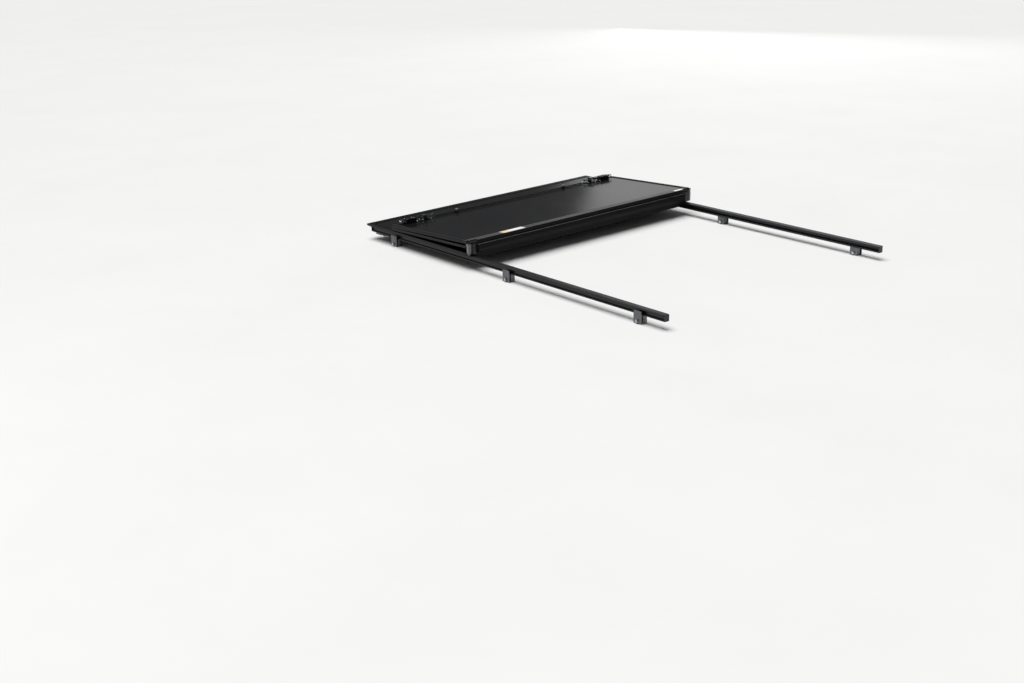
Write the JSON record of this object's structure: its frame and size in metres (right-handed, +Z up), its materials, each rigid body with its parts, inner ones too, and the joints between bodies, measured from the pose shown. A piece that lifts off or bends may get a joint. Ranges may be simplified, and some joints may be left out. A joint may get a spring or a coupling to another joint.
{
  "type": "tonneau cover",
  "caption": "Hard folding truck bed cover, stacked open on its bed rails: flat framed panels, a standing hinge link, sprung latches and rail clamps.",
  "frame": {"origin": "middle of the closed cover, on the plane of the truck's bed rail tops", "axes": "+X to the truck's right, +Y forward to the cab, +Z up"},
  "size_m": [1.544, 2.0584, 0.1446],
  "materials": {
    "foam_core": "closed cell foam",
    "panel_skin": "fine satin texture, black",
    "rubber": "black EPDM",
    "black_plastic": "moulded black nylon",
    "cable_sheath": "black PVC sheath",
    "zinc_steel": "zinc plated",
    "label": "blank film label",
    "clamp_aluminium": "bead blasted",
    "latch_steel": "black zinc",
    "rail_aluminium": "black anodised, semi-matte",
    "black_aluminium": "black powder coat, satin"
  },
  "bodies": {
    "bed_frame": {"bulkhead_seal": "rubber", "clamp_bolts": "zinc_steel", "clamp_inner_jaws": "clamp_aluminium", "clamp_nuts": "zinc_steel", "clamp_outer_jaws": "clamp_aluminium", "front_bottom_skin": "panel_skin", "front_clamp_hooks": "clamp_aluminium", "front_clamp_knobs": "black_plastic", "front_core": "foam_core", "front_cross_bow": "black_aluminium", "front_header_bar": "black_aluminium", "front_hinge_bar": "black_aluminium", "front_left_bar": "black_aluminium", "front_right_bar": "black_aluminium", "front_side_seals": "rubber", "front_top_skin": "panel_skin", "left_rail_seal": "rubber", "left_side_rail": "rail_aluminium", "rail_end_caps": "black_plastic", "right_rail_seal": "rubber", "right_side_rail": "rail_aluminium"},
    "link": {"hinge_link": "black_aluminium", "left_link_cap": "black_plastic", "right_link_cap": "black_plastic"},
    "middle_panel": {"care_label": "label", "caution_label": "label", "middle_bottom_skin": "panel_skin", "middle_cable_clips": "black_plastic", "middle_core": "foam_core", "middle_left_bar": "black_aluminium", "middle_left_latch_base": "latch_steel", "middle_left_spring": "zinc_steel", "middle_link_bar": "black_aluminium", "middle_rear_bar": "black_aluminium", "middle_release_cable": "cable_sheath", "middle_right_bar": "black_aluminium", "middle_right_latch_base": "latch_steel", "middle_right_spring": "zinc_steel", "middle_side_seals": "rubber", "middle_top_skin": "panel_skin", "rear_hinge_pin": "zinc_steel"},
    "rear_panel": {"rear_bottom_skin": "panel_skin", "rear_cable_clips": "black_plastic", "rear_core": "foam_core", "rear_hinge_bar": "black_aluminium", "rear_left_bar": "black_aluminium", "rear_left_latch_base": "latch_steel", "rear_release_cable": "cable_sheath", "rear_right_bar": "black_aluminium", "rear_right_latch_base": "latch_steel", "rear_side_seals": "rubber", "rear_tail_bar": "black_aluminium", "rear_top_skin": "panel_skin", "tailgate_seal": "rubber"},
    "middle_left_bolt": {"middle_left_bolt": "zinc_steel"},
    "middle_right_bolt": {"middle_right_bolt": "zinc_steel"},
    "rear_left_bolt": {"rear_left_bolt": "zinc_steel"},
    "rear_right_bolt": {"rear_right_bolt": "zinc_steel"}
  },
  "joints": [
    {"name": "link_fold", "type": "hinge", "parent": "bed_frame", "child": "link", "pos_m": [0, 0.222, 0.009], "axis": [1, 0, 0], "range_deg": [0, 90]},
    {"name": "panel_fold", "type": "hinge", "parent": "link", "child": "middle_panel", "pos_m": [0, 0.222, 0.068], "axis": [1, 0, 0], "range_deg": [0, 92.89]},
    {"name": "rear_fold", "type": "hinge", "parent": "middle_panel", "child": "rear_panel", "pos_m": [0, 0.8213, 0.0311], "axis": [-1, 0, 0], "range_deg": [0, 0.5]},
    {"name": "middle_left_bolt_slide", "type": "slide", "parent": "middle_panel", "child": "middle_left_bolt", "axis": [1, 0, 0], "range_m": [0, 0.012], "stiffness_N_per_m": 400, "springref_m": -0.02, "deforming": ["middle_left_spring", "middle_right_spring"]},
    {"name": "middle_right_bolt_slide", "type": "slide", "parent": "middle_panel", "child": "middle_right_bolt", "axis": [-1, 0, 0], "range_m": [0, 0.012], "stiffness_N_per_m": 400, "springref_m": -0.02},
    {"name": "rear_left_bolt_slide", "type": "slide", "parent": "rear_panel", "child": "rear_left_bolt", "axis": [1, 0, 0], "range_m": [0, 0.012], "stiffness_N_per_m": 400, "springref_m": -0.02},
    {"name": "rear_right_bolt_slide", "type": "slide", "parent": "rear_panel", "child": "rear_right_bolt", "axis": [-1, 0, 0], "range_m": [0, 0.012], "stiffness_N_per_m": 400, "springref_m": -0.02}
  ],
  "couplings": [
    {"joint": "panel_fold", "follows": "link_fold", "ratio": 1.0322},
    {"joint": "middle_right_bolt_slide", "follows": "middle_left_bolt_slide", "ratio": 1},
    {"joint": "rear_right_bolt_slide", "follows": "rear_left_bolt_slide", "ratio": 1}
  ]
}
